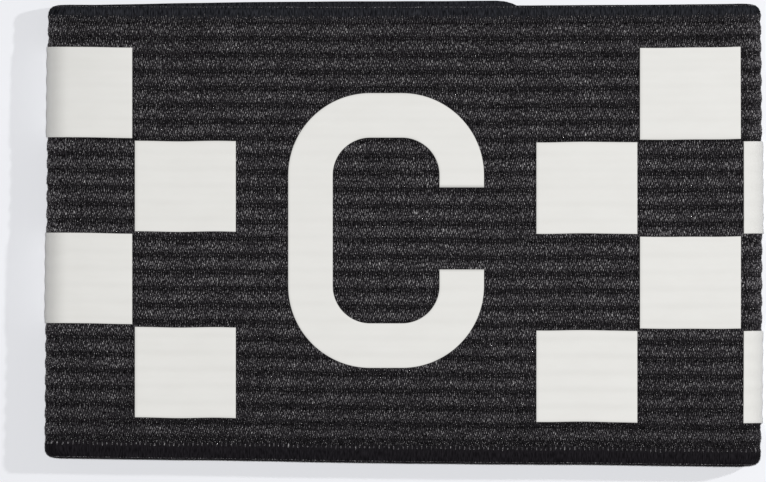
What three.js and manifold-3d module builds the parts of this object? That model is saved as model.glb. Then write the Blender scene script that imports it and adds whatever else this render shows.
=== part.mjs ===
// A captain's armband, lying folded flat with its lettered face up.
// One strip of ribbed elastic is closed into a loop by a patch of hook tape between its overlapping
// ends, and a heat-applied letter and two fields of check blocks lie on its outer side.
// Millimetres, +Z up. X runs along the folded loop, Y across the band from its lower edge to its
// upper edge, and the origin is on the surface it rests on, under the middle of the part.

import * as THREE from "three";
import { mergeVertices } from "three/addons/utils/BufferGeometryUtils.js";
import Module from "manifold-3d";

// The elastic strip
const flatLength = 139.5; // across the two folds
const bandWidth = 89.5; // from the lower edge to the upper edge, across the ribs
const bandThick = 1.6; // over the crests of the ribs
const ribCount = 25;
const ribDepth = 0.4; // of the grooves between the ribs
const ribCrestShare = 0.5; // of a rib's pitch that lies level with its crest
const selvedgeLow = 3.9; // plain woven edge below the ribs
const selvedgeHigh = 3.3; // plain woven edge above the ribs
const edgeRound = 0.7; // how far the rounding of the edges reaches in
const foldCorner = 1.9; // radius of the four corners seen from above
const foldFade = 3; // how far inside a fold its corner rounding starts
const leftLean = 0.35; // the left fold leans out below and in above by this much
const rightBow = 0.3; // the right fold is this much shorter at its ends than in its middle
const foldSteps = 12; // facets round each fold

// The closure
const flapReach = 27; // the outer end of the strip lies this far right of the middle
const flapCorner = 9; // radius of the outer end's corners
const innerReach = 28; // the inner end lies this far left of the middle
const innerCorner = 3; // radius of the inner end's corners
const rampRun = 22; // length over which the inner end climbs on to the outer one
const rampClear = 4; // from the top of that climb to the outer end
const rampSteps = 6;
const hookThick = 1.3; // the hook tape
const hookInset = 7; // from the hook tape to the ends of the strip that it joins
const hookMargin = 6.5; // from the hook tape to the band's edges
const hookCorner = 3;
const layerGap = 0.1; // between layers that lie on each other
const frontClear = 1.4; // from the inner end up to the front

// The heat-applied print
const printThick = 0.25;
const printGap = 0.1; // under the print
const letterMiddle = -3.55; // X of the letter's middle
const letterRise = 0.7; // Y of the letter's middle
const letterWidth = 38.2;
const letterHeight = 53.6;
const letterStroke = 8.7;
const letterRound = 16; // outer corner radius, where the height leaves room for it
const letterMouth = 16; // opening between the letter's two ends
const mouthRise = 0.4; // of the opening's middle above the letter's
const roundSteps = 8; // facets in a quarter of a round corner
const panelWidth = 58.1; // bare panel round the letter, between the two fields of blocks
const blockRows = 4;
const frontColumns = 2; // whole columns between the panel and the right fold
const blockGap = 0.5; // between the corners of two blocks
const fieldMargin = 8; // from the blocks to the band's edges
const printTurn = 135; // degrees round a fold at which the print ends
const leastBlock = 2; // a block that the print's end cuts shorter than this is left out

// Where the layers lie: heights of the middle of the strip's thickness
const halfThick = bandThick / 2;
const closureHeight = bandThick + hookThick + 2 * layerGap; // underside of the inner end
const hollowHeight = closureHeight + frontClear; // clear height between the back and the front
const lowMiddle = halfThick;
const innerMiddle = closureHeight + halfThick;
const frontMiddle = bandThick + hollowHeight + halfThick;
const foldRadius = (frontMiddle - lowMiddle) / 2;
const foldCentre = flatLength / 2 - foldRadius - halfThick; // distance of each fold's axis from x = 0
const blockWidth = (foldCentre - letterMiddle - panelWidth / 2) / frontColumns;

// The strip's edges along its length, as shares of bandWidth from the middle line.
// run: flap is the outer end, front the face, inner the other end; along: share of that run.
const edgeTable = [
  { run: "flap", along: 0, lower: -0.478, upper: 0.509 },
  { run: "flap", along: 0.6, lower: -0.482, upper: 0.506 },
  { run: "flap", along: 1, lower: -0.488, upper: 0.4985 },
  { run: "front", along: 0, lower: -0.488, upper: 0.4985 },
  { run: "front", along: 0.22, lower: -0.492, upper: 0.4965 },
  { run: "front", along: 0.5, lower: -0.499, upper: 0.496 },
  { run: "front", along: 0.78, lower: -0.502, upper: 0.4975 },
  { run: "front", along: 1, lower: -0.506, upper: 0.5005 },
  { run: "inner", along: 0, lower: -0.506, upper: 0.5005 },
  { run: "inner", along: 1, lower: -0.494, upper: 0.494 },
];

const wasm = await Module();
wasm.setup();

const clothMaterial = new THREE.MeshStandardMaterial({ color: 0x1e1d20, roughness: 0.85 });
const printMaterial = new THREE.MeshStandardMaterial({ color: 0xe4e3df, roughness: 0.6 });
const hookMaterial = new THREE.MeshStandardMaterial({ color: 0x151516, roughness: 0.95 });

// The strip's middle line seen from its lower edge: points (x, z) from the outer end, round the left
// fold, along the front, round the right fold and up on to the hook tape, with each run's first and
// last point.
function middleLine() {
  const points = [];
  const runs = {};
  const add = (x, z) => points.push(new THREE.Vector2(x, z));
  const foldHeight = (lowMiddle + frontMiddle) / 2;
  const addFold = (centreX, startAngle) => {
    for (let i = 1; i < foldSteps; i++) {
      const angle = startAngle - (Math.PI * i) / foldSteps;
      add(centreX + foldRadius * Math.cos(angle), foldHeight + foldRadius * Math.sin(angle));
    }
  };
  const addRun = (run, from, to) => {
    runs[run] = { first: points.length };
    const shares = edgeTable.filter((row) => row.run === run).map((row) => row.along);
    shares.forEach((share) => add(from.x + (to.x - from.x) * share, from.z + (to.z - from.z) * share));
    runs[run].last = points.length - 1;
  };
  addRun("flap", { x: flapReach, z: lowMiddle }, { x: -foldCentre, z: lowMiddle });
  addFold(-foldCentre, -Math.PI / 2);
  addRun("front", { x: -foldCentre, z: frontMiddle }, { x: foldCentre, z: frontMiddle });
  addFold(foldCentre, Math.PI / 2);
  runs.inner = { first: points.length };
  add(foldCentre, lowMiddle);
  const rampTop = flapReach + rampClear;
  for (let i = 0; i <= rampSteps; i++) {
    const t = i / rampSteps;
    const rise = t * t * (3 - 2 * t);
    add(rampTop + rampRun * (1 - t), lowMiddle + (innerMiddle - lowMiddle) * rise);
  }
  add(-innerReach, innerMiddle);
  runs.inner.last = points.length - 1;
  return { points, runs };
}

const line = middleLine();

// Distance along the middle line at each of its points.
const distances = [0];
line.points.forEach((point, i) => {
  if (i > 0) distances.push(distances[i - 1] + point.distanceTo(line.points[i - 1]));
});
const stripLength = distances[distances.length - 1];

// Outward direction at each point, lengthened at a bend so that offset facets stay parallel.
const outwards = line.points.map((point, i) => {
  const normals = [];
  if (i > 0) normals.push(new THREE.Vector2().subVectors(point, line.points[i - 1]));
  if (i < line.points.length - 1) normals.push(new THREE.Vector2().subVectors(line.points[i + 1], point));
  normals.forEach((v) => v.normalize().set(-v.y, v.x));
  const bend = normals.length === 2 ? 1 + normals[0].dot(normals[1]) : 1;
  return normals.reduce((sum, v) => sum.add(v), new THREE.Vector2()).divideScalar(bend);
});

// The edge table with its rows placed by distance along the strip.
const edges = edgeTable.map((row) => {
  const start = distances[line.runs[row.run].first];
  const end = distances[line.runs[row.run].last];
  return { at: start + (end - start) * row.along, lower: row.lower, upper: row.upper };
});

// Linear reading of a table of rows sorted by their column at.
function read(rows, column, at) {
  const next = rows.findIndex((row) => row.at >= at);
  if (next <= 0) return rows[next === 0 ? 0 : rows.length - 1][column];
  const [a, b] = [rows[next - 1], rows[next]];
  return a[column] + ((b[column] - a[column]) * (at - a.at)) / (b.at - a.at || 1);
}

const lineRows = line.points.map((point, i) => ({
  at: distances[i],
  x: point.x,
  z: point.y,
  outX: outwards[i].x,
  outZ: outwards[i].y,
}));

// How far a fold is pulled in at a share of the band's width, for its corners, lean and bow.
function foldPull(isLeft, share) {
  const fromEdge = Math.min(share, 1 - share) * bandWidth;
  const inCorner = Math.max(0, foldCorner - fromEdge);
  const corner = foldCorner - Math.sqrt(foldCorner ** 2 - inCorner ** 2);
  const fromMiddle = 2 * share - 1;
  return corner + (isLeft ? leftLean * fromMiddle : rightBow * fromMiddle ** 2);
}

// A point of the strip: distance along it, share of its width from the lower edge, and height above
// the middle of its thickness, outwards.
function place(at, share, height) {
  const x = read(lineRows, "x", at) + height * read(lineRows, "outX", at);
  const z = read(lineRows, "z", at) + height * read(lineRows, "outZ", at);
  const lower = read(edges, "lower", at);
  const upper = read(edges, "upper", at);
  const reach = THREE.MathUtils.smoothstep(Math.abs(x), foldCentre - foldFade, flatLength / 2);
  const shift = -Math.sign(x) * foldPull(x < 0, share) * reach;
  return new THREE.Vector3(x + shift, bandWidth * (lower + (upper - lower) * share), z);
}

// A closed body swept along the strip through the given distances. ring lists its section's corners
// as { share, height }, seen along the strip.
function sweep(stops, ring) {
  const vertices = [];
  stops.forEach((at) => ring.forEach((corner) => vertices.push(place(at, corner.share, corner.height))));
  const index = [];
  const count = ring.length;
  for (let i = 0; i < stops.length - 1; i++) {
    for (let j = 0; j < count; j++) {
      const [a, b] = [i * count + j, i * count + ((j + 1) % count)];
      index.push(a, a + count, b, b, a + count, b + count);
    }
  }
  const outline = ring.map((corner) => new THREE.Vector2(corner.share * bandWidth, corner.height));
  const last = (stops.length - 1) * count;
  THREE.ShapeUtils.triangulateShape(outline, []).forEach(([a, b, c]) => {
    index.push(a, c, b, last + a, last + b, last + c);
  });
  const geometry = new THREE.BufferGeometry().setFromPoints(vertices);
  geometry.setIndex(index);
  return geometry;
}

// Geometry to solid and back, for the cuts.
function toSolid(geometry) {
  const bare = geometry.clone();
  bare.deleteAttribute("normal");
  bare.deleteAttribute("uv");
  const merged = mergeVertices(bare, 1e-4);
  const vertProperties = new Float32Array(merged.attributes.position.array);
  return new wasm.Manifold(
    new wasm.Mesh({ numProp: 3, vertProperties, triVerts: new Uint32Array(merged.index.array) }),
  );
}

function toGeometry(solid) {
  const mesh = solid.getMesh();
  const geometry = new THREE.BufferGeometry();
  geometry.setAttribute("position", new THREE.BufferAttribute(mesh.vertProperties, 3));
  geometry.setIndex(new THREE.BufferAttribute(mesh.triVerts, 1));
  return geometry;
}

// Half of the strip's section, from the lower edge to the upper one: grooved between the ribs on the
// outer side (side 1) and plain on the inner side (side -1).
function sectionSide(side) {
  const corners = [];
  const add = (y, drop) => corners.push({ share: y / bandWidth, height: side * (halfThick - drop) });
  const edgeCurve = [
    { reach: 0.12, drop: 0.55 },
    { reach: 0.45, drop: 0.15 },
    { reach: 1, drop: 0 },
  ];
  edgeCurve.forEach((row) => add(row.reach * edgeRound, row.drop * halfThick));
  if (side > 0) {
    const pitch = (bandWidth - selvedgeLow - selvedgeHigh) / ribCount;
    const flank = ((1 - ribCrestShare) / 2) * pitch;
    add(selvedgeLow - flank, 0);
    for (let i = 0; i < ribCount; i++) {
      const start = selvedgeLow + i * pitch;
      add(start, ribDepth);
      add(start + flank, 0);
      add(start + pitch - flank, 0);
    }
    add(bandWidth - selvedgeHigh, ribDepth);
    add(bandWidth - selvedgeHigh + flank, 0);
  }
  [...edgeCurve].reverse().forEach((row) => add(bandWidth - row.reach * edgeRound, row.drop * halfThick));
  return corners;
}

// What a rounded corner of one of the strip's ends leaves to cut away.
function cornerCutter(tip, inwardX, inwardY, radius, middle) {
  const past = radius; // the cutter reaches this far past the corner
  const shape = new THREE.Shape();
  shape.moveTo(tip.x - past * inwardX, tip.y - past * inwardY);
  shape.lineTo(tip.x - past * inwardX, tip.y + radius * inwardY);
  shape.lineTo(tip.x, tip.y + radius * inwardY);
  for (let i = 1; i < roundSteps; i++) {
    const angle = (Math.PI / 2) * (i / roundSteps);
    shape.lineTo(
      tip.x + inwardX * radius * (1 - Math.cos(angle)),
      tip.y + inwardY * radius * (1 - Math.sin(angle)),
    );
  }
  shape.lineTo(tip.x + radius * inwardX, tip.y);
  shape.lineTo(tip.x + radius * inwardX, tip.y - past * inwardY);
  const depth = bandThick + layerGap; // reaches half a layer gap past the strip's two sides
  const geometry = new THREE.ExtrudeGeometry(shape, { depth, bevelEnabled: false });
  return toSolid(geometry.translate(0, 0, middle - depth / 2));
}

// The ribbed elastic strip with the corners of its two ends rounded.
function makeBand() {
  const ring = [
    { share: 0, height: 0 },
    ...sectionSide(1),
    { share: 1, height: 0 },
    ...sectionSide(-1).reverse(),
  ];
  let solid = toSolid(sweep(distances, ring));
  const ends = [
    { at: 0, inwardX: -1, radius: flapCorner, middle: lowMiddle },
    { at: stripLength, inwardX: 1, radius: innerCorner, middle: innerMiddle },
  ];
  ends.forEach(({ at, inwardX, radius, middle }) => {
    solid = solid.subtract(cornerCutter(place(at, 0, 0), inwardX, 1, radius, middle));
    solid = solid.subtract(cornerCutter(place(at, 1, 0), inwardX, -1, radius, middle));
  });
  return toGeometry(solid);
}

// A rounded rectangle about (0, 0).
function roundedRectangle(width, height, radius) {
  const [x, y] = [width / 2 - radius, height / 2 - radius];
  const shape = new THREE.Shape();
  shape.absarc(x, -y, radius, -Math.PI / 2, 0);
  shape.absarc(x, y, radius, 0, Math.PI / 2);
  shape.absarc(-x, y, radius, Math.PI / 2, Math.PI);
  shape.absarc(-x, -y, radius, Math.PI, 1.5 * Math.PI);
  return shape;
}

// The patch of hook tape between the overlapping ends.
function makeHookTape() {
  const left = -innerReach + hookInset;
  const right = flapReach - hookInset;
  const shape = roundedRectangle(right - left, bandWidth - 2 * hookMargin, hookCorner);
  const geometry = new THREE.ExtrudeGeometry(shape, {
    depth: hookThick,
    bevelEnabled: false,
    curveSegments: roundSteps / 2,
  });
  return geometry.translate((left + right) / 2, letterRise, bandThick + layerGap);
}

// The letter C: a round-cornered band of even stroke with its mouth on the right.
function makeLetter() {
  const mouthTop = mouthRise + letterMouth / 2;
  const mouthBottom = mouthRise - letterMouth / 2;
  const straight = letterStroke / 8; // least straight length between a terminal and a corner
  const roomAbove = letterHeight / 2 - Math.max(mouthTop, -mouthBottom) - straight;
  const outer = { x: letterWidth / 2, y: letterHeight / 2, round: Math.min(letterRound, roomAbove) };
  const inner = {
    x: outer.x - letterStroke,
    y: outer.y - letterStroke,
    round: Math.max(outer.round - letterStroke, letterStroke / 4),
  };
  const quarter = Math.PI / 2;
  const shape = new THREE.Shape();
  shape.moveTo(outer.x, mouthTop);
  shape.lineTo(outer.x, outer.y - outer.round);
  shape.absarc(outer.x - outer.round, outer.y - outer.round, outer.round, 0, quarter);
  shape.absarc(-outer.x + outer.round, outer.y - outer.round, outer.round, quarter, 2 * quarter);
  shape.absarc(-outer.x + outer.round, -outer.y + outer.round, outer.round, 2 * quarter, 3 * quarter);
  shape.absarc(outer.x - outer.round, -outer.y + outer.round, outer.round, 3 * quarter, 4 * quarter);
  shape.lineTo(outer.x, mouthBottom);
  shape.lineTo(inner.x, mouthBottom);
  shape.absarc(inner.x - inner.round, -inner.y + inner.round, inner.round, 0, -quarter, true);
  shape.absarc(-inner.x + inner.round, -inner.y + inner.round, inner.round, -quarter, -2 * quarter, true);
  shape.absarc(-inner.x + inner.round, inner.y - inner.round, inner.round, 2 * quarter, quarter, true);
  shape.absarc(inner.x - inner.round, inner.y - inner.round, inner.round, quarter, 0, true);
  shape.lineTo(inner.x, mouthTop);
  shape.closePath();
  const geometry = new THREE.ExtrudeGeometry(shape, {
    depth: printThick,
    bevelEnabled: false,
    curveSegments: roundSteps,
  });
  return geometry.translate(letterMiddle, letterRise, frontMiddle + halfThick + printGap);
}

// One block of print between two distances along the strip, in a row counted from the lower edge.
function makeBlock(from, to, row) {
  const rowHeight = (bandWidth - 2 * fieldMargin) / blockRows;
  const lower = (fieldMargin + row * rowHeight + blockGap / 2) / bandWidth;
  const upper = (fieldMargin + (row + 1) * rowHeight - blockGap / 2) / bandWidth;
  const under = halfThick + printGap;
  const ring = [
    { share: lower, height: under },
    { share: lower, height: under + printThick },
    { share: upper, height: under + printThick },
    { share: upper, height: under },
  ];
  const stops = [from, ...distances.filter((at) => at > from && at < to), to];
  return sweep(stops, ring);
}

// A field of check blocks from the panel's edge outwards and on round the fold, to printTurn.
function makeField(side) {
  const isLeft = side < 0;
  const panelEdge = letterMiddle + (side * panelWidth) / 2;
  const front = line.runs.front;
  const start = distances[front.first] + (panelEdge + foldCentre);
  const foldStart = distances[isLeft ? front.first : front.last];
  const foldLength = distances[front.first] - distances[line.runs.flap.last];
  const limit = foldStart + (side * foldLength * printTurn) / 180;
  const blocks = [];
  for (let column = 0; column <= frontColumns; column++) {
    const near = start + side * (column * blockWidth + blockGap / 2);
    const far = start + side * ((column + 1) * blockWidth - blockGap / 2);
    const end = isLeft ? Math.max(far, limit) : Math.min(far, limit);
    if (side * (end - near) < leastBlock) break;
    for (let row = 0; row < blockRows; row++) {
      if ((row + column) % 2 === 0) blocks.push(makeBlock(Math.min(near, end), Math.max(near, end), row));
    }
  }
  return blocks;
}

function named(name, geometry, material) {
  const mesh = new THREE.Mesh(geometry, material);
  mesh.name = name;
  return mesh;
}

const armband = new THREE.Group();
armband.add(named("band", makeBand(), clothMaterial));
armband.add(named("hook_tape", makeHookTape(), hookMaterial));
armband.add(named("captain_letter", makeLetter(), printMaterial));
makeField(-1).forEach((block, i) => armband.add(named(`block_left_${i + 1}`, block, printMaterial)));
makeField(1).forEach((block, i) => armband.add(named(`block_right_${i + 1}`, block, printMaterial)));

// The origin goes under the middle of the whole part, on the surface it rests on.
const bounds = new THREE.Box3().setFromObject(armband, true);
const middle = bounds.getCenter(new THREE.Vector3());
armband.position.set(-middle.x, -middle.y, -bounds.min.z);

export default armband;
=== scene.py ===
"""The looks of a captain's armband of black ribbed elastic that lies folded flat.

The strip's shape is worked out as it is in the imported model, and its left fold is then pressed a little
flatter, as it is in the photograph. A point has a distance along the strip, a distance across it from its
lower edge, and a height over the middle of its thickness. Sizes are in millimetres, and build_mesh turns
them into metres.
"""

import math

import bmesh
import bpy
import numpy as np
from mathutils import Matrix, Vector


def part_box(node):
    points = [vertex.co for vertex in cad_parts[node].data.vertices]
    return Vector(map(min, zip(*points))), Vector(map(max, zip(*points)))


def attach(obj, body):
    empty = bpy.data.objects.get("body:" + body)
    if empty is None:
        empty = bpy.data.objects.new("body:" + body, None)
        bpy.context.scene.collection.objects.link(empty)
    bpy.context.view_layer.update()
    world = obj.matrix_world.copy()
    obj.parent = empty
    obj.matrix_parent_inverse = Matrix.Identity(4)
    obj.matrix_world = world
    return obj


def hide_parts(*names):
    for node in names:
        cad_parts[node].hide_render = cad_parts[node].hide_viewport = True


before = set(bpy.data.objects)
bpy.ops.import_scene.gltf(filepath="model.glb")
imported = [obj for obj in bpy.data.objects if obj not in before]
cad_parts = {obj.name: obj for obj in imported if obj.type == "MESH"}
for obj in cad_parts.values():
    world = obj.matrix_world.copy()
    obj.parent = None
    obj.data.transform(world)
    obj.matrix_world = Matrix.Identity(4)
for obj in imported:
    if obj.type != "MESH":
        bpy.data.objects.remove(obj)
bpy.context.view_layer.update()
rng = np.random.default_rng(11)

MM = 0.001

# The elastic strip
FLAT_LENGTH = 139.5  # across the two folds
BAND_WIDTH = 89.5  # from the lower edge to the upper edge
BAND_THICK = 1.6
RIB_COUNT = 25
RIB_DEPTH = 0.4
SELVEDGE_LOW = 3.9
SELVEDGE_HIGH = 3.3
EDGE_ROUND = 0.7
FOLD_CORNER = 1.9  # radius of the corners at the ends of the folds
FOLD_FADE = 3.0  # the pull of a corner, a lean or a bow comes in over this run and the fold
LEFT_LEAN = 0.35  # how far the left fold leans in at its upper end, and out at its lower end
LEFT_PRESS = (0.0, 0.18)  # share of its height that the left fold loses at its lower and upper end
PRESS_RUN = 16.0  # the pressed stretch, from the left fold inwards
RIGHT_BOW = 0.3  # how far the right fold is pulled in at both ends

# The closure
FLAP_REACH = 27.0
FLAP_CORNER = 9.0
INNER_REACH = 28.0
INNER_CORNER = 3.0
RAMP_RUN = 22.0  # the inner end climbs over the outer one along this run
RAMP_CLEAR = 4.0  # between the outer end and the ramp
HOOK_THICK = 1.3
LAYER_GAP = 0.1
FRONT_CLEAR = 1.4  # between the inner end and the front

# The hook tape
TAPE_BASE = 0.45
TAPE_CORNER = 3.0
TAPE_CORNER_STEPS = 6
TAPE_BEVEL = (0.985, 0.08)  # share of the size that is left at the top, and height
HOOK_PITCH = (1.4, 1.3)
HOOK_MARGIN = 2.2  # bare border of the tape
HOOK_PATH = [(0.0, 0.0), (0.0, 0.5), (0.14, 0.85), (0.38, 0.83)]  # forwards, and up as a share of the room
HOOK_WIRE = 0.1
HOOK_ROOT = 0.02  # each hook starts this deep in the tape

# The heat-applied print
LETTER_MIDDLE = (-3.55, 0.7)
LETTER_SIZE = (38.2, 53.6)
LETTER_STROKE = 8.7
LETTER_ROUND = 16.0
LETTER_MOUTH = 16.0  # height of the letter's opening
MOUTH_RISE = 0.4  # its middle lies this much over the letter's
PANEL_WIDTH = 58.1  # bare width about the letter, between the two fields of blocks
BLOCK_ROWS = 4
FRONT_COLUMNS = 2
BLOCK_GAP = 0.5
FIELD_MARGIN = 8.0  # from the strip's edges to the fields
PRINT_TURN = 135.0  # degrees round a fold at which the print ends
LEAST_BLOCK = 2.0  # a block that the print's end cuts shorter than this is left out
FILM_TOP = 0.2  # the film's top over the strip's thickness
FILM_THICK = 0.14
FILM_SAG = 0.12  # it sinks this much over the grooves
FILM_BEVEL = 0.05
FILM_RIM = 0.1  # width of the bevelled rim
FILM_STEPS = (0.6, 0.45)  # of the film's mesh, along and across
COVER_MARGIN = 0.5  # yarns this far inside a film's edge are left out

# Heights that follow from those sizes
HALF_THICK = BAND_THICK / 2
CLOSURE_HEIGHT = BAND_THICK + HOOK_THICK + 2 * LAYER_GAP
LOW_MIDDLE = HALF_THICK
INNER_MIDDLE = CLOSURE_HEIGHT + HALF_THICK
FRONT_MIDDLE = BAND_THICK + CLOSURE_HEIGHT + FRONT_CLEAR + HALF_THICK
FOLD_RADIUS = (FRONT_MIDDLE - LOW_MIDDLE) / 2
FOLD_CENTRE = FLAT_LENGTH / 2 - FOLD_RADIUS - HALF_THICK
FOLD_HEIGHT = (LOW_MIDDLE + FRONT_MIDDLE) / 2
FOLD_RUN = math.pi * FOLD_RADIUS
RIB_PITCH = (BAND_WIDTH - SELVEDGE_LOW - SELVEDGE_HIGH) / RIB_COUNT
BLOCK_WIDTH = (FOLD_CENTRE - LETTER_MIDDLE[0] - PANEL_WIDTH / 2) / FRONT_COLUMNS
RAMP_TOP = FLAP_REACH + RAMP_CLEAR

# Where each run of the strip starts, as a distance along it from its outer end
U_LEFT_FOLD = FLAP_REACH + FOLD_CENTRE
U_FRONT = U_LEFT_FOLD + FOLD_RUN
U_RIGHT_FOLD = U_FRONT + 2 * FOLD_CENTRE
U_INNER = U_RIGHT_FOLD + FOLD_RUN
STEP = 0.1  # between the points that the middle line is worked out at

# The knit
STITCH = 0.93  # pitch of the stitches along a rib
YARN_RISE = 0.24  # the yarns stand this high over the ground that they cover
FOLD_RISE = 0.12  # and this high where the strip turns round a fold
SELVEDGE_SINK = 0.1  # the woven selvedges lie this much under the full thickness
GROOVE_FORM = 1.4  # a power that draws the grooves narrower than a plain wave
INNER_RIBS = 0.25  # depth of the grooves on the inner side, as a share of RIB_DEPTH
EDGE_GROWTH = 0.13  # the edge yarns make the strip this much wider at its upper edge
FOLD_GROWTH = 0.2  # and the folds this much fuller
GROWTH_FADE = 3.0  # the fullness comes in over this run at each end of a fold
FRONT_FADE = 6.0  # and the front's unevenness over this one

# The knit's slight waver across the strip: size, length of a wave over two pi, phase
WAVER_BROAD = (0.07, 5.3, 0.8)
WAVER_FINE = (0.05, 2.1, 2.0)
WAVER_BEAT = 17.0  # the fine waver swells and fades over waves of this length
WAVER_AT_EDGE = 0.25  # the share of it that is left at the strip's edges

# The unevenness of the front's level: its size, how far its waves wind, and their lengths over two pi
UNEVEN = 0.06
UNEVEN_BEND = 0.6
UNEVEN_WAVES = (7.0, 11.0, 13.0, 31.0)

# Rows of yarns on each rib: share of the pitch, scatter, length, width, lean, offset in stitches, tone. The
# tone is lower in the rows by the grooves, which is painted shade
RIB_ROWS = [
    (0.06, 0.07, 0.90, 0.30, 0.04, 0.25, 0.34),
    (0.29, 0.12, 0.95, 0.34, -0.14, 0.0, 0.48),
    (0.48, 0.14, 0.95, 0.36, 0.16, 0.25, 0.57),
    (0.67, 0.14, 0.95, 0.36, -0.12, 0.0, 0.57),
    (0.86, 0.12, 0.95, 0.34, 0.10, 0.25, 0.49),
]
BACK_ROWS = RIB_ROWS[1::3]  # two of them, for the side that faces down

# Rows of yarns on the selvedges: distance across the strip, pitch, then the same values from the scatter on
RIBS_TOP = BAND_WIDTH - SELVEDGE_HIGH
SELVEDGE_ROWS = [
    (RIBS_TOP + 0.35, STITCH / 2, 0.08, 1.3, 0.26, 0.1, 0.0, 0.46),
    (RIBS_TOP + 0.95, STITCH / 2, 0.16, 1.2, 0.24, 0.06, 0.3, 0.47),
    (BAND_WIDTH - 0.3, 0.6 * STITCH, 0.02, 0.62, 0.18, math.pi / 2, 0.0, 0.50),
    (SELVEDGE_LOW - 0.2, STITCH / 2, 0.08, 0.9, 0.27, -0.1, 0.5, 0.38),
    (SELVEDGE_LOW - 0.85, STITCH, 0.06, 1.0, 0.36, 0.05, 0.2, 0.58),
    (0.28, 0.6 * STITCH, 0.02, 0.62, 0.18, math.pi / 2, 0.0, 0.57),
]

# How much single yarns differ: normal spreads of a place, a lean and a tone, and ranges of shares
PLACE_SPREAD = 0.05
LEAN_SPREAD = 0.1
TONE_SPREAD = 0.06
LENGTH_RANGE = (0.75, 1.15)
WIDTH_RANGE = (0.8, 1.15)
RISE_RANGE = (0.65, 1.0)
PAIR_CONTRAST = 0.07  # every other yarn is paler by this much

# Broad differences of tone: painted light about the middle and painted shade towards the lower edge, where
# the light falls off, and small patches
PAINTED_MIDDLE_LIGHT = 0.03
MIDDLE_RISE = (12, 40)  # distances across the strip between which the painted light comes in
MIDDLE_FALL = (55, 85)  # and between which it goes again
PAINTED_LOW_SHADE = 0.055
LOW_FADE = (5, 18)  # distances between which the painted shade of the lower edge fades
PATCH_TONE = 0.05
PATCH_BEND = 3
PATCH_WAVES = (2.3, 4.1, 7.7, 3.3)
NOISE_STEP = (7, 3)  # moves neighbouring yarns apart in the noise along and across the strip

# Steps of the ground's mesh along and across the strip
END_STEPS = 10
FLAP_STEP = 2.0
FOLD_STEPS = 28
FRONT_STEPS = 100
INNER_STEPS = 70
EDGE_STEPS = (0, 0.06, 0.22, 0.5, 1.0)  # shares of EDGE_ROUND
LOW_STEPS = 6
HIGH_STEPS = 5
RIB_STEPS = 5
WELD_DISTANCE = 1e-7  # metres

# The strip's edges, as shares of its width: run, share of that run, lower edge, upper edge
EDGES = [
    ("flap", 0.0, -0.478, 0.509),
    ("flap", 0.6, -0.482, 0.506),
    ("flap", 1.0, -0.488, 0.4985),
    ("front", 0.0, -0.488, 0.4985),
    ("front", 0.22, -0.492, 0.4965),
    ("front", 0.5, -0.499, 0.496),
    ("front", 0.78, -0.502, 0.4975),
    ("front", 1.0, -0.506, 0.5005),
    ("inner", 0.0, -0.506, 0.5005),
    ("inner", 1.0, -0.494, 0.494),
]

# Colours, as a ramp's stops: place and linear colour
# the yarns' own tones, and at the top bright stops for the painted glints
YARN_TONES_AND_PAINTED_GLINTS = [
    (0.0, (0.0010, 0.0009, 0.0011)),
    (0.3, (0.0150, 0.0136, 0.0156)),
    (0.5, (0.0420, 0.0388, 0.0432)),
    (0.7, (0.0980, 0.0920, 0.1000)),
    (1.0, (0.6000, 0.5900, 0.5900)),
]
CREST_SHADES = [(0.35, (0.0024, 0.0021, 0.0026)), (0.7, (0.0430, 0.0396, 0.0444))]
# the ground in the grooves: painted shade, darker than on the crests
PAINTED_GROOVE_SHADES = [(0.35, (0.0010, 0.0009, 0.0011)), (0.7, (0.0190, 0.0175, 0.0196))]
LOWER_SHADES = [(0.35, (0.0050, 0.0044, 0.0054)), (0.7, (0.0155, 0.0140, 0.0166))]
UPPER_SHADES = [(0.35, (0.0050, 0.0054, 0.0070)), (0.7, (0.0305, 0.0318, 0.0380))]
FILM_SHADES = [(0.3, (0.700, 0.693, 0.666)), (0.7, (0.722, 0.716, 0.690))]
HOOK_SHADES = [(0.3, (0.008, 0.008, 0.009)), (0.7, (0.02, 0.02, 0.022))]
FLOOR_COLOUR = (0.853, 0.862, 0.895)

# Noise in the materials: waves to a millimetre along the strip, across it and through it, detail, roughness
TWIST_NOISE = ((3.6, 2.6, 1.0), 1.0, 0.6)
SPARK_NOISE = ((5.5, 5.5, 1.0), 0.0, 0.5)
FLECK_NOISE = ((3.0, 1.6, 1.0), 2.0, 0.6)
STREAK_NOISE = ((4.2, 0.8, 1.0), 1.0, 0.5)
MOTTLE_NOISE = ((0.12, 0.3, 1.0), 3.0, 0.6)
GRAIN_NOISE = ((5.0, 5.0, 1.0), 2.0, 0.5)
HOOK_NOISE = ((2500.0, 2500.0, 2500.0), 2.0, 0.5)  # waves to a metre
# the twist noise changes each yarn's colour, partly as its own tone and partly as painted light
TWIST_TONE_AND_LIGHT_GAIN = 1.1
PAINTED_GLINT_START = 0.7  # only the peaks of the spark noise over this get painted glints
PAINTED_GLINT_GAIN = 20.0
THREAD_WAVES = {"Scale": 0.68, "Distortion": 1.2, "Detail": 2.0}
THREAD_SHARE = 0.6

# Depths of the bumps that the materials draw
YARN_BUMP = 0.05
GROUND_BUMP = 0.07
FILM_BUMP = 0.012
HOOK_BUMP = 0.03

# Stage, light and camera
PIXEL = 0.1950  # millimetres of the armband's face that one pixel of the photograph shows
IMAGE = (766, 482)
PHOTO_ORIGIN = (404.27, 234.1)  # the pixel over the middle of the sizes' own frame
CAMERA_DISTANCE = 2600.0
SENSOR = 36.0
FLOOR_HALF = 1.5  # metres
WORLD_LIGHT = 0.06

# Round lights that face the armband: name, direction, distance and size in metres, power in watts
LIGHTS = [
    ("overhead", (0.0, 0.015, 1.0), 1.6, 0.05, 20.1),
    ("key", (1.26, 0.355, 1.0), 0.8, 0.035, 1.87),
]


# The middle line


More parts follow.
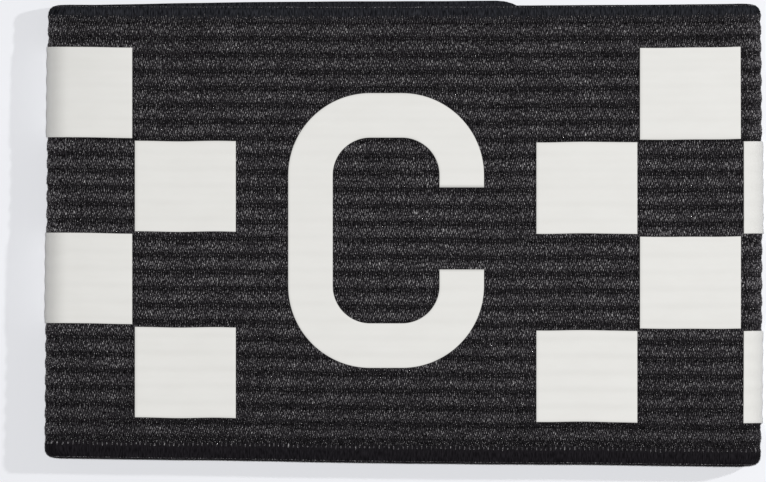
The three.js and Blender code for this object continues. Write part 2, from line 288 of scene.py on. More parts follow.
def middle_line():
    """Points along the strip's middle: distance, x, z, and the x and z of the outward direction."""
    xs, zs = [], []

    def straight(start, end):
        count = max(2, round(abs(end - start) / STEP))
        return np.linspace(start, end, count, endpoint=False)

    flap = straight(FLAP_REACH, -FOLD_CENTRE)
    front = straight(-FOLD_CENTRE, FOLD_CENTRE)
    turn = np.linspace(0, math.pi, round(FOLD_RUN / STEP), endpoint=False)
    inner = straight(FOLD_CENTRE, RAMP_TOP + RAMP_RUN)
    ramp = straight(RAMP_TOP + RAMP_RUN, RAMP_TOP)
    t = (RAMP_TOP + RAMP_RUN - ramp) / RAMP_RUN
    climb = LOW_MIDDLE + (INNER_MIDDLE - LOW_MIDDLE) * t * t * (3 - 2 * t)
    last = np.append(straight(RAMP_TOP, -INNER_REACH), -INNER_REACH)
    for x, z in (
        (flap, np.full_like(flap, LOW_MIDDLE)),
        (-FOLD_CENTRE - FOLD_RADIUS * np.sin(turn), FOLD_HEIGHT - FOLD_RADIUS * np.cos(turn)),
        (front, np.full_like(front, FRONT_MIDDLE)),
        (FOLD_CENTRE + FOLD_RADIUS * np.sin(turn), FOLD_HEIGHT + FOLD_RADIUS * np.cos(turn)),
        (inner, np.full_like(inner, LOW_MIDDLE)),
        (ramp, climb),
        (last, np.full_like(last, INNER_MIDDLE)),
    ):
        xs.append(x)
        zs.append(z)
    x, z = np.concatenate(xs), np.concatenate(zs)
    along = np.concatenate([[0], np.cumsum(np.hypot(np.diff(x), np.diff(z)))])
    dx, dz = np.gradient(x, along), np.gradient(z, along)
    length = np.hypot(dx, dz)
    return along, x, z, -dz / length, dx / length


LINE = middle_line()
U_END = LINE[0][-1]
RUNS = {"flap": (0.0, U_LEFT_FOLD), "front": (U_FRONT, U_RIGHT_FOLD), "inner": (U_INNER, U_END)}
EDGE_AT = [RUNS[run][0] + share * (RUNS[run][1] - RUNS[run][0]) for run, share, _, _ in EDGES]
EDGE_LOW = [row[2] for row in EDGES]
EDGE_HIGH = [row[3] for row in EDGES]


def origin_shift():
    """From the sizes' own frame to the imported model's, read from where the letter lies."""
    low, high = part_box("captain_letter")
    middle = (np.array(low) + np.array(high)) / 2 / MM
    return np.array([middle[0] - LETTER_MIDDLE[0], middle[1] - LETTER_MIDDLE[1], 0.0])


SHIFT = origin_shift()


def smoothstep(x, start, end):
    t = np.clip((x - start) / (end - start), 0, 1)
    return t * t * (3 - 2 * t)


def fold_pull(is_left, y):
    """How far a fold is pulled in, for its corners and for its lean or bow."""
    in_corner = np.maximum(0, FOLD_CORNER - np.minimum(y, BAND_WIDTH - y))
    corner = FOLD_CORNER - np.sqrt(np.maximum(0, FOLD_CORNER**2 - in_corner**2))
    from_middle = 2 * y / BAND_WIDTH - 1
    return corner + np.where(is_left, LEFT_LEAN * from_middle, RIGHT_BOW * from_middle**2)


def edges_at(u):
    return np.interp(u, EDGE_AT, EDGE_LOW), np.interp(u, EDGE_AT, EDGE_HIGH)


def drift(u):
    """The slight waver of the knit across the strip."""
    broad, fine = (size * np.sin(u / length + phase) for size, length, phase in (WAVER_BROAD, WAVER_FINE))
    return broad + fine * np.sin(u / WAVER_BEAT)


def round_fold(u):
    """1 at the middle of a fold, and 0 away from both folds."""
    return sum(
        smoothstep(u, start, start + GROWTH_FADE) - smoothstep(u, end - GROWTH_FADE, end)
        for start, end in ((U_LEFT_FOLD, U_FRONT), (U_RIGHT_FOLD, U_INNER))
    )


def swell(u, y):
    """The slight unevenness of the front's level, and the fullness of the folds."""
    after_start = smoothstep(u, U_FRONT, U_FRONT + FRONT_FADE)
    past_end = smoothstep(u, U_RIGHT_FOLD - FRONT_FADE, U_RIGHT_FOLD)
    along, bend, across, slant = UNEVEN_WAVES
    uneven = UNEVEN * (after_start - past_end) * np.sin(u / along + UNEVEN_BEND * np.sin(y / bend))
    return uneven * np.cos(y / across + u / slant) + FOLD_GROWTH * round_fold(u)


def pressed(x, y):
    """The share of its height that the folded strip loses towards its left fold, in this dress alone."""
    nearness = np.clip(1 - (x + FLAT_LENGTH / 2) / PRESS_RUN, 0, 1)
    return (LEFT_PRESS[0] + (LEFT_PRESS[1] - LEFT_PRESS[0]) * y / BAND_WIDTH) * nearness**2


def place(u, y, height):
    """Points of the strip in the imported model's frame."""
    u, y, height = np.broadcast_arrays(u, y, height)
    height = height + swell(u, y)
    x = np.interp(u, LINE[0], LINE[1]) + height * np.interp(u, LINE[0], LINE[3])
    z = np.interp(u, LINE[0], LINE[2]) + height * np.interp(u, LINE[0], LINE[4])
    z = z * (1 - pressed(x, y))
    low, high = edges_at(u)
    reach = smoothstep(np.abs(x), FOLD_CENTRE - FOLD_FADE, FLAT_LENGTH / 2)
    x = x - np.sign(x) * fold_pull(x < 0, y) * reach
    inside = np.clip(np.minimum(y, BAND_WIDTH - y) / SELVEDGE_LOW, WAVER_AT_EDGE, 1)
    growth = smoothstep(y, RIBS_TOP, BAND_WIDTH)
    across = BAND_WIDTH * low + (high - low) * y + drift(u) * inside + EDGE_GROWTH * growth
    return np.stack([x, across, z], axis=-1) + SHIFT


# The strip's section


def valley(y):
    """1 in the grooves between the ribs and beside them, and 0 on the crests and the selvedges."""
    t = (y - SELVEDGE_LOW) / RIB_PITCH
    wave = 0.5 + 0.5 * np.cos(2 * math.pi * t)
    return np.where((t > -0.5) & (t < RIB_COUNT + 0.5), wave, 0)


def edge_share(y):
    """Thickness at the rounded edges, as a share of the full one."""
    inward = np.clip((EDGE_ROUND - np.minimum(y, BAND_WIDTH - y)) / EDGE_ROUND, 0, 1)
    return np.sqrt(1 - inward**2)


def in_ribs(y):
    """1 on the ribs, and 0 on the selvedges."""
    low = smoothstep(y, SELVEDGE_LOW - 0.5 * RIB_PITCH, SELVEDGE_LOW)
    return low * (1 - smoothstep(y, RIBS_TOP, RIBS_TOP + 0.5 * RIB_PITCH))


def yarn_rise(u):
    """How high the yarns stand over their ground, which is less where the strip turns."""
    return YARN_RISE + (FOLD_RISE - YARN_RISE) * round_fold(u)


def ground(u, y):
    """Height of the outer side under its yarns. The ribs are drawn flatter where the strip turns."""
    rise = yarn_rise(u)
    sink = SELVEDGE_SINK + (rise - SELVEDGE_SINK) * in_ribs(y)
    return (HALF_THICK - sink) * edge_share(y) - RIB_DEPTH * rise / YARN_RISE * valley(y) ** GROOVE_FORM


def inside_height(y):
    """Depth of the inner side below the middle."""
    return HALF_THICK * edge_share(y) - INNER_RIBS * RIB_DEPTH * valley(y)


def end_cut(u):
    """How far the round corners of the two ends cut into the width at a distance along the strip."""
    cut = np.zeros_like(u)
    for start, radius in ((u, FLAP_CORNER), (U_END - u, INNER_CORNER)):
        left = np.clip(radius - start, 0, radius)
        cut = np.maximum(cut, radius - np.sqrt(radius**2 - left**2))
    return cut


# Meshes


def build_mesh(name, points, faces, material, smooth=True, **attributes):
    """A mesh object from points in millimetres. An attribute is one number or three for each point."""
    mesh = bpy.data.meshes.new(name)
    mesh.from_pydata((np.asarray(points) * MM).tolist(), [], [tuple(face) for face in faces])
    for key, values in attributes.items():
        values = np.asarray(values, np.float32)
        if values.ndim == 1:
            mesh.attributes.new(key, "FLOAT", "POINT").data.foreach_set("value", values)
        else:
            mesh.attributes.new(key, "FLOAT_VECTOR", "POINT").data.foreach_set("vector", values.ravel())
    mesh.polygons.foreach_set("use_smooth", [smooth] * len(mesh.polygons))
    mesh.materials.append(material)
    mesh.validate()
    piece = bpy.data.objects.new(name, mesh)
    bpy.context.scene.collection.objects.link(piece)
    return piece


def grid_faces(rows, columns, closed=False):
    """Quads of a grid of points, row after row."""
    j = np.arange(columns if closed else columns - 1)
    i = np.arange(rows - 1)[:, None]
    k = (j + 1) % columns
    quads = [i * columns + j, i * columns + k, (i + 1) * columns + k, (i + 1) * columns + j]
    return np.stack(quads, axis=-1).reshape(-1, 4).tolist()


def many(template_points, template_faces, count):
    """Faces of count copies of a template, whose points follow each other."""
    size = len(template_points)
    faces = np.asarray(template_faces)
    return (np.arange(count)[:, None, None] * size + faces[None]).reshape(-1, faces.shape[1]).tolist()


# Materials


class Shader:
    """A material with a Principled shader, and short calls that add its nodes."""

    def __init__(self, name, **values):
        self.material = bpy.data.materials.new(name)
        self.material.use_nodes = True
        self.tree = self.material.node_tree
        self.bsdf = self.tree.nodes["Principled BSDF"]
        for key, value in values.items():
            self.bsdf.inputs[key.replace("_", " ")].default_value = value

    def node(self, kind, inputs=(), **settings):
        node = self.tree.nodes.new("ShaderNode" + kind)
        for key, value in settings.items():
            setattr(node, key, value)
        for key, value in dict(inputs).items():
            self.put(value, node.inputs[key])
        return node

    def put(self, value, socket):
        if isinstance(value, bpy.types.NodeSocket):
            self.tree.links.new(value, socket)
        else:
            socket.default_value = value

    def attribute(self, name, output):
        return self.node("Attribute", attribute_name=name).outputs[output]

    def math(self, operation, a, b):
        return self.node("Math", {0: a, 1: b}, operation=operation).outputs[0]

    def noise(self, vector, scale, detail, roughness):
        scaled = self.node("VectorMath", {0: vector, 1: scale}, operation="MULTIPLY").outputs[0]
        inputs = {"Vector": scaled, "Scale": 1.0, "Detail": detail, "Roughness": roughness}
        return self.node("TexNoise", inputs).outputs["Fac"]

    def ramp(self, value, stops):
        node = self.node("ValToRGB", {"Fac": value})
        elements = node.color_ramp.elements
        while len(elements) < len(stops):
            elements.new(0.5)
        for element, (position, colour) in zip(elements, stops):
            element.position = position
            element.color = (*colour, 1)
        return node.outputs["Color"]

    def mix(self, factor, a, b):
        node = self.node("Mix", data_type="RGBA")
        self.put(factor, node.inputs["Factor"])
        colours = [socket for socket in node.inputs if socket.type == "RGBA"]
        self.put(a, colours[0])
        self.put(b, colours[1])
        return next(socket for socket in node.outputs if socket.type == "RGBA")

    def bump(self, height, distance):
        node = self.node("Bump", {"Height": height, "Distance": distance * MM})
        self.put(node.outputs["Normal"], self.bsdf.inputs["Normal"])


def yarn_material():
    """The black face yarns: each has its own tone, which the twist noise changes partly as the yarn's own
    tone and partly as painted light where its filaments twist in and out of the light, and its brightest
    specks are painted glints.
    """
    shader = Shader("knit_yarn", Roughness=0.75, Specular_IOR_Level=0.05)
    tone = shader.attribute("tone", "Fac")
    weave = shader.attribute("weave", "Vector")
    twist = shader.noise(weave, *TWIST_NOISE)
    spark = shader.noise(weave, *SPARK_NOISE)
    painted_glint = shader.math("MAXIMUM", shader.math("SUBTRACT", spark, PAINTED_GLINT_START), 0.0)
    twist_tone_and_light = shader.math("MULTIPLY", shader.math("SUBTRACT", twist, 0.5), TWIST_TONE_AND_LIGHT_GAIN)
    # the yarn's tone with painted light from the twist and painted glints added
    shade = shader.math("ADD", shader.math("ADD", tone, twist_tone_and_light), shader.math("MULTIPLY", painted_glint, PAINTED_GLINT_GAIN))
    shader.put(shader.ramp(shade, YARN_TONES_AND_PAINTED_GLINTS), shader.bsdf.inputs["Base Color"])
    shader.bump(twist, YARN_BUMP)
    return shader.material


def ground_material():
    """The ground of the knit under its yarns, with painted shade in its grooves, the plain inner side and
    the dense woven selvedges.
    """
    shader = Shader("knit_ground", Roughness=0.8, Specular_IOR_Level=0.02)
    weave = shader.attribute("weave", "Vector")
    selvedge = shader.attribute("selvedge", "Fac")
    threads = shader.node("TexWave", {"Vector": weave, **THREAD_WAVES}, bands_direction="X")
    fleck = shader.noise(weave, *FLECK_NOISE)
    crest = shader.ramp(fleck, CREST_SHADES)
    groove_shade_colour = shader.ramp(fleck, PAINTED_GROOVE_SHADES)
    # the grooves get painted shade
    knit = shader.mix(shader.attribute("painted_groove_shade", "Fac"), crest, groove_shade_colour)
    streak = shader.noise(weave, *STREAK_NOISE)
    lower = shader.ramp(streak, LOWER_SHADES)
    upper = shader.ramp(streak, UPPER_SHADES)
    across = shader.node("SeparateXYZ", {0: weave}).outputs["Y"]
    is_upper = shader.math("GREATER_THAN", across, BAND_WIDTH / 2)
    woven = shader.mix(is_upper, lower, upper)
    shader.put(shader.mix(selvedge, knit, woven), shader.bsdf.inputs["Base Color"])
    height = shader.math("ADD", shader.math("MULTIPLY", threads.outputs["Fac"], THREAD_SHARE), fleck)
    shader.bump(height, GROUND_BUMP)
    return shader.material


def print_material():
    """The matte off-white film."""
    shader = Shader("print_film", Roughness=0.6)
    weave = shader.attribute("weave", "Vector")
    mottle = shader.noise(weave, *MOTTLE_NOISE)
    grain = shader.noise(weave, *GRAIN_NOISE)
    shader.put(shader.ramp(mottle, FILM_SHADES), shader.bsdf.inputs["Base Color"])
    shader.bump(grain, FILM_BUMP)
    return shader.material


def hook_material():
    """Black nylon hook tape."""
    shader = Shader("hook_nylon", Roughness=0.4)
    grain = shader.noise(shader.node("TexCoord").outputs["Object"], *HOOK_NOISE)
    shader.put(shader.ramp(grain, HOOK_SHADES), shader.bsdf.inputs["Base Color"])
    shader.bump(grain, HOOK_BUMP)
    return shader.material


YARN = yarn_material()
GROUND = ground_material()
PRINT = print_material()
HOOK = hook_material()


# The print


def letter_line():
    """The middle of the letter's stroke: points and the directions to its outer side."""
    half_x = LETTER_SIZE[0] / 2 - LETTER_STROKE / 2
    half_y = LETTER_SIZE[1] / 2 - LETTER_STROKE / 2
    radius = LETTER_ROUND - LETTER_STROKE / 2
    flat_x, flat_y = half_x - radius, half_y - radius
    ends = (MOUTH_RISE + LETTER_MOUTH / 2, MOUTH_RISE - LETTER_MOUTH / 2)
    points, outward = [], []

    def line(start, end, direction):
        count = max(2, round(math.dist(start, end) / FILM_STEPS[0]))
        for t in np.linspace(0, 1, count, endpoint=False):
            points.append([start[0] + (end[0] - start[0]) * t, start[1] + (end[1] - start[1]) * t])
            outward.append(direction)

    def corner(side_x, side_y, start):
        count = round(radius * math.pi / 2 / FILM_STEPS[0])
        for angle in np.linspace(start, start + math.pi / 2, count, endpoint=False):
            direction = [math.cos(angle), math.sin(angle)]
            points.append([side_x * flat_x + radius * direction[0], side_y * flat_y + radius * direction[1]])
            outward.append(direction)

    line((half_x, ends[0]), (half_x, flat_y), [1, 0])
    corner(1, 1, 0)
    line((flat_x, half_y), (-flat_x, half_y), [0, 1])
    corner(-1, 1, math.pi / 2)
    line((-half_x, flat_y), (-half_x, -flat_y), [-1, 0])
    corner(-1, -1, math.pi)
    line((-flat_x, -half_y), (flat_x, -half_y), [0, -1])
    corner(1, -1, 1.5 * math.pi)
    line((half_x, -flat_y), (half_x, ends[1]), [1, 0])
    points.append([half_x, ends[1]])
    outward.append([1, 0])
    return np.array(points) + LETTER_MIDDLE, np.array(outward)


LETTER_LINE, LETTER_OUT = letter_line()


def blocks_of(side):
    """The blocks of one field: distances along and across the strip where each starts and ends."""
    row_height = (BAND_WIDTH - 2 * FIELD_MARGIN) / BLOCK_ROWS
    panel_edge = LETTER_MIDDLE[0] + side * PANEL_WIDTH / 2
    start = U_FRONT + panel_edge + FOLD_CENTRE
    fold_start = U_FRONT if side < 0 else U_RIGHT_FOLD
    limit = fold_start + side * FOLD_RUN * PRINT_TURN / 180
    blocks = []
    for column in range(FRONT_COLUMNS + 1):
        near = start + side * (column * BLOCK_WIDTH + BLOCK_GAP / 2)
        far = start + side * ((column + 1) * BLOCK_WIDTH - BLOCK_GAP / 2)
        end = max(far, limit) if side < 0 else min(far, limit)
        if side * (end - near) < LEAST_BLOCK:
            break
        for row in range(BLOCK_ROWS):
            if (row + column) % 2 == 0:
                low = FIELD_MARGIN + row * row_height + BLOCK_GAP / 2
                high = FIELD_MARGIN + (row + 1) * row_height - BLOCK_GAP / 2
                blocks.append((min(near, end), max(near, end), low, high))
    return blocks


FIELDS = {"left": blocks_of(-1), "right": blocks_of(1)}


def film(node, u, y, flatten=None):
    """The film in a CAD node's place, over a grid of distances along and across the strip.

    flatten gives the x and y of its points, where they don't follow from the strip.
    """
    rows, columns = u.shape
    rim = np.ones(u.shape)
    rim[1:-1, 1:-1] = 0
    top = HALF_THICK + FILM_TOP - FILM_SAG * valley(y)
    upper = place(u, y, top - FILM_BEVEL * rim)
    lower = place(u, y, top - FILM_THICK)
    if flatten is not None:
        upper[..., :2] = lower[..., :2] = flatten
    points = np.concatenate([upper.reshape(-1, 3), lower.reshape(-1, 3)])
    top_faces = np.array(grid_faces(rows, columns))
    index = np.arange(rows * columns).reshape(rows, columns)
    loop = np.concatenate([index[0, :-1], index[:-1, -1], index[-1, :0:-1], index[:0:-1, 0]])
    ahead = np.roll(loop, -1)
    below = rows * columns
    rim_faces = np.stack([ahead, loop, loop + below, ahead + below], axis=-1)
    faces = np.concatenate([top_faces, top_faces[:, ::-1] + below, rim_faces]).tolist()
    weave = np.stack([u, y, np.zeros_like(u)], axis=-1).reshape(-1, 3)
    piece = build_mesh(f"film_{node}", points, faces, PRINT, weave=np.concatenate([weave, weave]))
    face_outwards(piece)
    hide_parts(node)
    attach(piece, "root")


def face_outwards(piece):
    """Turns a closed mesh's faces out, if the sum of its volume says that they face in."""
    mesh = piece.data
    mesh.calc_loop_triangles()
    points = np.zeros(len(mesh.vertices) * 3, np.float32)
    triangles = np.zeros(len(mesh.loop_triangles) * 3, np.int32)
    mesh.vertices.foreach_get("co", points)
    mesh.loop_triangles.foreach_get("vertices", triangles)
    a, b, c = points.reshape(-1, 3)[triangles.reshape(-1, 3)].transpose(1, 0, 2)
    if (a * np.cross(b, c)).sum() < 0:
        mesh.flip_normals()


def inset_steps(start, end, step):
    """Values from start to end about step apart, with one close to each end for the bevel."""
    inner = np.linspace(start + FILM_RIM, end - FILM_RIM, max(2, round((end - start) / step)))
    return np.concatenate([[start], inner, [end]])


def make_blocks():
    """The films of both fields, each in the place of the CAD node with its side and number."""
    for side, blocks in FIELDS.items():
        for number, (near, far, low, high) in enumerate(blocks, 1):
            along = inset_steps(near, far, FILM_STEPS[0])
            across = inset_steps(low, high, FILM_STEPS[1])
            film(f"block_{side}_{number}", *np.meshgrid(along, across, indexing="ij"))


def make_letter():
    """The film of the letter, whose outline doesn't waver with the knit."""
    across = inset_steps(-LETTER_STROKE / 2, LETTER_STROKE / 2, FILM_STEPS[1])
    spot = LETTER_LINE[:, None, :] + LETTER_OUT[:, None, :] * across[None, :, None]
    u = U_FRONT + FOLD_CENTRE + spot[..., 0]
    low, high = edges_at(u)
    y = (spot[..., 1] - BAND_WIDTH * low) / (high - low)
    film("captain_letter", u, y, flatten=spot + SHIFT[:2])


# The strip


def stations():
    """Distances along the strip at which its ground is built."""
    quarter = np.linspace(0, math.pi / 2, END_STEPS)
    runs = [
        FLAP_CORNER * (1 - np.cos(quarter)),
        np.arange(FLAP_CORNER, U_LEFT_FOLD, FLAP_STEP)[1:],
        np.linspace(U_LEFT_FOLD, U_FRONT, FOLD_STEPS),
        np.linspace(U_FRONT, U_RIGHT_FOLD, FRONT_STEPS),
        np.linspace(U_RIGHT_FOLD, U_INNER, FOLD_STEPS),
        np.linspace(U_INNER, U_END - INNER_CORNER, INNER_STEPS),
        U_END - INNER_CORNER * (1 - np.cos(quarter[::-1])),
    ]
    return np.unique(np.round(np.concatenate(runs), 4))


def section_rows():
    """Distances across the strip at which its ground is built."""
    edge = EDGE_ROUND * np.array(EDGE_STEPS)
    low = np.linspace(EDGE_ROUND, SELVEDGE_LOW, LOW_STEPS)[1:]
    high = np.linspace(RIBS_TOP, BAND_WIDTH - EDGE_ROUND, HIGH_STEPS)[:-1]
    ribs = SELVEDGE_LOW + RIB_PITCH * np.arange(1, RIB_COUNT * RIB_STEPS) / RIB_STEPS
    return np.concatenate([edge, low, ribs, high, BAND_WIDTH - edge[::-1]])


def make_strip():
    """The strip itself: its ground, its inner side and its selvedges, as one closed mesh."""
    u, y = stations(), section_rows()
    cut = end_cut(u)[:, None]
    spread = np.clip(y[None, :], cut, BAND_WIDTH - cut)
    along = np.broadcast_to(u[:, None], spread.shape)
    outer = place(along, spread, ground(along, spread))
    inner = place(along, spread, -inside_height(spread))[:, -2:0:-1]
    ring = np.concatenate([outer, inner], axis=1)
    count, top = ring.shape[1], len(y) - 1
    last = (len(u) - 1) * count
    faces = grid_faces(len(u), count, closed=True)
    for j in range(1, top - 1):
        faces.append([count - j, count - j - 1, j + 1, j])
        faces.append([last + j, last + j + 1, last + count - j - 1, last + count - j])
    for first, second, third in ((0, 1, count - 1), (top - 1, top, top + 1)):
        faces.append([first, third, second])
        faces.append([last + first, last + second, last + third])
    both = np.concatenate([spread, spread[:, -2:0:-1]], axis=1)
    side = np.concatenate([np.ones_like(spread), -np.ones_like(spread[:, -2:0:-1])], axis=1)
    weave = np.stack([np.broadcast_to(u[:, None], both.shape), both, side], axis=-1).reshape(-1, 3)
    # valley() gives where the ground gets painted shade in the grooves
    look = {"weave": weave, "selvedge": (1 - in_ribs(both)).reshape(-1), "painted_groove_shade": valley(both).reshape(-1)}
    piece = build_mesh("band_ground", ring.reshape(-1, 3), faces, GROUND, **look)
    weld(piece)
    face_outwards(piece)
    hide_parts("band")
    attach(piece, "root")
    return piece


def weld(piece):
    """Joins the points that the round ends have brought together."""
    mesh = bmesh.new()
    mesh.from_mesh(piece.data)
    bmesh.ops.remove_doubles(mesh, verts=mesh.verts, dist=WELD_DISTANCE)
    mesh.to_mesh(piece.data)
    mesh.free()


# The yarns on the strip's outer side

# A yarn lies as a spindle: shares of its length, of its width and of its rise at each corner
SPINDLE = np.array(
    [
        (-1.0, 0.0, -0.1),
        (-0.42, -1.0, 0.0),
        (-0.42, 0.0, 1.0),
        (-0.42, 1.0, 0.0),
        (0.42, -1.0, 0.0),
        (0.42, 0.0, 1.0),
        (0.42, 1.0, 0.0),
        (1.0, 0.0, -0.1),
    ]
)
SPINDLE_FACES = (
    [(0, 1 + i, 1 + (i + 1) % 3) for i in range(3)]
    + [(1 + i, 4 + i, 1 + (i + 1) % 3) for i in range(3)]
    + [(4 + i, 4 + (i + 1) % 3, 1 + (i + 1) % 3) for i in range(3)]
    + [(7, 4 + (i + 1) % 3, 4 + i) for i in range(3)]
)


def under_print(u, y):
    """Which points lie under a film, at least COVER_MARGIN inside its edge."""
    margin = COVER_MARGIN
    hidden = np.zeros(u.shape, bool)
    for blocks in FIELDS.values():
        for near, far, low, high in blocks:
            hidden |= (u > near + margin) & (u < far - margin) & (y > low + margin) & (y < high - margin)
    x = u - U_FRONT - FOLD_CENTRE
    low, high = edges_at(u)
    spot = np.stack([x, BAND_WIDTH * low + (high - low) * y], axis=-1)
    from_middle = spot - LETTER_MIDDLE
    near_letter = (np.abs(from_middle) < np.array(LETTER_SIZE) / 2).all(axis=-1)
    in_mouth = (from_middle[:, 0] > 0) & (np.abs(from_middle[:, 1] - MOUTH_RISE) < LETTER_MOUTH / 2 + margin)
    near_letter &= ~in_mouth
    which = np.flatnonzero(near_letter)
    away = np.array([np.sqrt(((LETTER_LINE - spot[i]) ** 2).sum(1)).min() for i in which])
    hidden[which[away < LETTER_STROKE / 2 - margin]] = True
    return hidden


def yarn_rows(rib_rows):
    """Rows of yarns in the form of SELVEDGE_ROWS, which come last, after those of each rib."""
    rows = []
    for rib in range(RIB_COUNT):
        for share, *look in rib_rows:
            rows.append((SELVEDGE_LOW + (rib + share) * RIB_PITCH, STITCH / 2, *look))
    return rows + SELVEDGE_ROWS


def scatter_yarns(start, end, rows):
    """One yarn after another along each row, between two distances along the strip."""
    parts = []
    for middle, pitch, scatter, length, width, lean, offset, tone in rows:
        count = int((end - start) / pitch)
        u = start + (np.arange(count) + 0.5) * pitch + offset * STITCH + rng.normal(0, PLACE_SPREAD, count)
        y = middle + rng.normal(0, scatter, count)
        size = length * rng.uniform(*LENGTH_RANGE, count)
        wide = width * rng.uniform(*WIDTH_RANGE, count)
        rise = rng.uniform(*RISE_RANGE, count)
        turn = lean + rng.normal(0, LEAN_SPREAD, count)
        shade = tone + PAIR_CONTRAST * (np.arange(count) % 2 - 0.5) + rng.normal(0, TONE_SPREAD, count)
        parts.append(np.stack([u, y, size, wide, rise, turn, shade], axis=-1))
    return np.concatenate(parts)


def painted_light_falloff(y):
    """Painted light and shade: the knit is drawn a little paler about its middle, and darker towards its
    lower edge, where the light falls off.
    """
    painted_light = PAINTED_MIDDLE_LIGHT * smoothstep(y, *MIDDLE_RISE) * (1 - smoothstep(y, *MIDDLE_FALL))
    return painted_light - PAINTED_LOW_SHADE * (1 - smoothstep(y, *LOW_FADE))


def patch_tone(u, y):
    """Small patches of the knit are a little paler or darker than the rest."""
    along, bend, broad, slant = PATCH_WAVES
    winding = np.sin(u / along + PATCH_BEND * np.sin(y / bend)) * np.sin(u / broad + y / slant)
    return PATCH_TONE * winding


def make_yarns(name, start, end, rows):
    """One piece of knit: all yarns of the given rows between two distances along the strip."""
    yarns = scatter_yarns(start, end, rows)
    u, y, size, _, _, turn, _ = yarns.T
    reach = size / 2 * np.abs(np.cos(turn))
    hidden = under_print(u, y - reach) & under_print(u, y + reach)
    cut = end_cut(u)
    hidden |= (y - reach < cut) | (y + reach > BAND_WIDTH - cut)
    yarns = yarns[~hidden]
    u, y, size, wide, rise, turn, tone = (v[:, None] for v in yarns.T)
    s, t, h = SPINDLE.T[:, None, :]
    along = u + s * size / 2 * np.sin(turn) + t * wide / 2 * np.cos(turn)
    across = y + s * size / 2 * np.cos(turn) - t * wide / 2 * np.sin(turn)
    points = place(along, across, ground(along, across) + h * rise * yarn_rise(along))
    # the broad term adds painted light about the middle and painted shade towards the lower edge
    tone = tone + patch_tone(u, y) + painted_light_falloff(y)
    tone = np.broadcast_to(np.clip(tone, 0, 1), along.shape)
    noise_u, noise_y = u * NOISE_STEP[0], y * NOISE_STEP[1]
    weave = np.stack([t * wide + noise_u, s * size / 2 + noise_y, 0 * along], axis=-1)
    faces = many(SPINDLE, SPINDLE_FACES, len(yarns))
    attributes = {"tone": tone.reshape(-1), "weave": weave.reshape(-1, 3)}
    piece = build_mesh(name, points.reshape(-1, 3), faces, YARN, **attributes)
    face_outwards(piece)
    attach(piece, "root")
    return piece


def make_front_yarns():
    """The face yarns of the front and of the upper half of each fold, in three parts."""
    rows = sorted(yarn_rows(RIB_ROWS))
    start, end = U_FRONT - 0.5 * FOLD_RUN, U_RIGHT_FOLD + 0.5 * FOLD_RUN
    third = len(rows) // 3
    parts = {"lower": rows[:third], "middle": rows[third : 2 * third], "upper": rows[2 * third :]}
    return [make_yarns(f"knit_front_{name}", start, end, part) for name, part in parts.items()]


def make_back_yarns():
    """The yarns of the strip's outer side where it faces down, with fewer rows to a rib."""
    rows = yarn_rows(BACK_ROWS)
    inner_end = U_INNER + FOLD_CENTRE - FLAP_REACH
    flap = make_yarns("knit_flap", 0, U_FRONT - 0.5 * FOLD_RUN, rows)
    inner = make_yarns("knit_inner", U_RIGHT_FOLD + 0.5 * FOLD_RUN, inner_end, rows)
    return [flap, inner]


# The tape and its hooks


def make_hook_tape():
    """A plate with round corners and rows of small hooks that stand on it."""
    low, high = (np.array(corner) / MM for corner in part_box("hook_tape"))
    turns = np.linspace(0, math.pi / 2, TAPE_CORNER_STEPS)
    outline = []
    for quarter, (side_x, side_y) in enumerate([(1, 1), (-1, 1), (-1, -1), (1, -1)]):
        middle_x = (low[0] + high[0]) / 2 + side_x * ((high[0] - low[0]) / 2 - TAPE_CORNER)
        middle_y = (low[1] + high[1]) / 2 + side_y * ((high[1] - low[1]) / 2 - TAPE_CORNER)
        angle = turns + quarter * math.pi / 2
        corner = (middle_x + TAPE_CORNER * np.cos(angle), middle_y + TAPE_CORNER * np.sin(angle))
        outline.append(np.stack(corner, axis=-1))
    outline = np.concatenate(outline)
    middle = outline.mean(axis=0)
    levels = ((1.0, 0.0), (1.0, TAPE_BASE - TAPE_BEVEL[1]), (TAPE_BEVEL[0], TAPE_BASE))
    rings = [
        np.column_stack([middle + (outline - middle) * share, np.full(len(outline), low[2] + rise)])
        for share, rise in levels
    ]
    count = len(outline)
    total = len(levels) * count
    faces = grid_faces(len(levels), count, closed=True)
    faces += [list(range(count))[::-1], list(range(total - count, total))]
    hooks, hook_faces = hook_rows(low, high, total)
    piece = build_mesh("hook_field", np.concatenate([*rings, hooks]), faces + hook_faces, HOOK, smooth=False)
    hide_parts("hook_tape")
    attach(piece, "root")


def hook_rows(low, high, first):
    """Rows of small hooks, every other row facing the other way. Their points count on from first."""
    x = np.arange(low[0] + HOOK_MARGIN, high[0] - HOOK_MARGIN, HOOK_PITCH[0])
    y = np.arange(low[1] + HOOK_MARGIN, high[1] - HOOK_MARGIN, HOOK_PITCH[1])
    spot = np.stack(np.meshgrid(x, y, indexing="ij"), axis=-1)
    facing = np.where(np.arange(len(x)) % 2 == 0, 1.0, -1.0)[:, None] * np.ones(len(y))
    path = np.array(HOOK_PATH)
    rise = path[:, 1] * (high[2] - low[2] - TAPE_BASE)
    ring = HOOK_WIRE * np.array([(1, 0), (0, 1), (-1, 0), (0, -1)])
    template = np.array([(forward + r[0], r[1], up) for forward, up in zip(path[:, 0], rise) for r in ring])
    points = np.zeros((*facing.shape, len(template), 3))
    points[..., 0] = spot[..., None, 0] + facing[..., None] * template[:, 0]
    points[..., 1] = spot[..., None, 1] + template[:, 1]
    points[..., 2] = low[2] + TAPE_BASE - HOOK_ROOT + template[:, 2]
    count, total = len(ring), len(template)
    caps = [list(range(count))[::-1], list(range(total - count, total))]
    quads = grid_faces(len(path), count, closed=True) + caps
    faces = np.array(many(template, quads, facing.size)) + first
    return points.reshape(-1, 3), faces.tolist()


# The camera, the lights and the stage


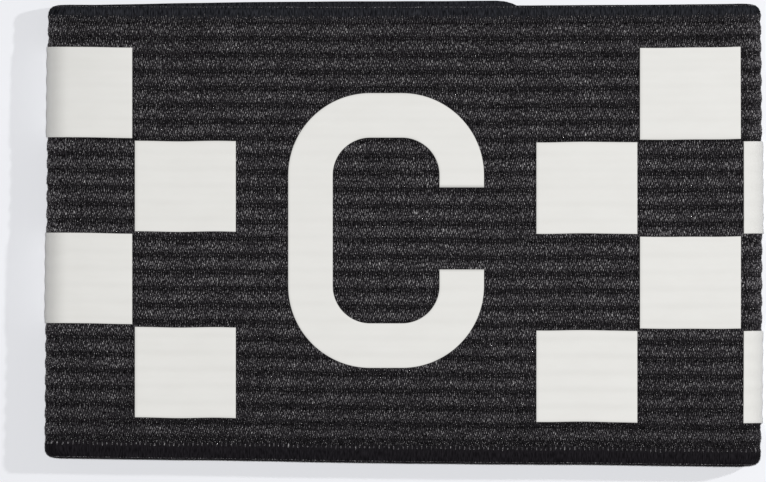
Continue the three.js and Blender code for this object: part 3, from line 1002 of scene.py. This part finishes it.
def make_camera():
    """A long lens straight over the armband, framed as the photograph is."""
    camera = bpy.data.cameras.new("camera")
    camera.sensor_width = SENSOR
    camera.lens = SENSOR * CAMERA_DISTANCE / (IMAGE[0] * PIXEL)
    holder = bpy.data.objects.new("camera", camera)
    x = (IMAGE[0] / 2 - PHOTO_ORIGIN[0]) * PIXEL + SHIFT[0]
    y = (PHOTO_ORIGIN[1] - IMAGE[1] / 2) * PIXEL + SHIFT[1]
    holder.location = (x * MM, y * MM, (FRONT_MIDDLE + HALF_THICK + CAMERA_DISTANCE) * MM)
    bpy.context.scene.collection.objects.link(holder)
    bpy.context.scene.camera = holder


def add_light(name, direction, distance, size, power):
    """A round area light that faces the middle of the armband."""
    light = bpy.data.lights.new(name, "AREA")
    light.shape = "DISK"
    light.size = size
    light.energy = power
    holder = bpy.data.objects.new(name, light)
    towards = Vector(direction).normalized()
    holder.location = towards * distance
    holder.rotation_mode = "QUATERNION"
    holder.rotation_quaternion = towards.to_track_quat("Z", "Y")
    bpy.context.scene.collection.objects.link(holder)


def make_stage():
    """A plain pale floor under a white world, and the lights."""
    mesh = bpy.data.meshes.new("floor")
    corners = [(-1, -1), (1, -1), (1, 1), (-1, 1)]
    mesh.from_pydata([(x * FLOOR_HALF, y * FLOOR_HALF, 0) for x, y in corners], [], [(0, 1, 2, 3)])
    shader = Shader("floor_paper", Roughness=0.9, Specular_IOR_Level=0.1)
    shader.bsdf.inputs["Base Color"].default_value = (*FLOOR_COLOUR, 1)
    mesh.materials.append(shader.material)
    floor = bpy.data.objects.new("floor", mesh)
    bpy.context.scene.collection.objects.link(floor)
    world = bpy.data.worlds.new("world")
    world.use_nodes = True
    background = world.node_tree.nodes["Background"]
    background.inputs["Color"].default_value = (1, 1, 1, 1)
    background.inputs["Strength"].default_value = WORLD_LIGHT
    bpy.context.scene.world = world
    for light in LIGHTS:
        add_light(*light)


make_camera()
make_stage()
band = make_strip()
make_letter()
make_blocks()
yarns = make_front_yarns() + make_back_yarns()
make_hook_tape()

bpy.context.scene.view_settings.view_transform = "Standard"
bpy.context.scene.view_settings.look = "None"
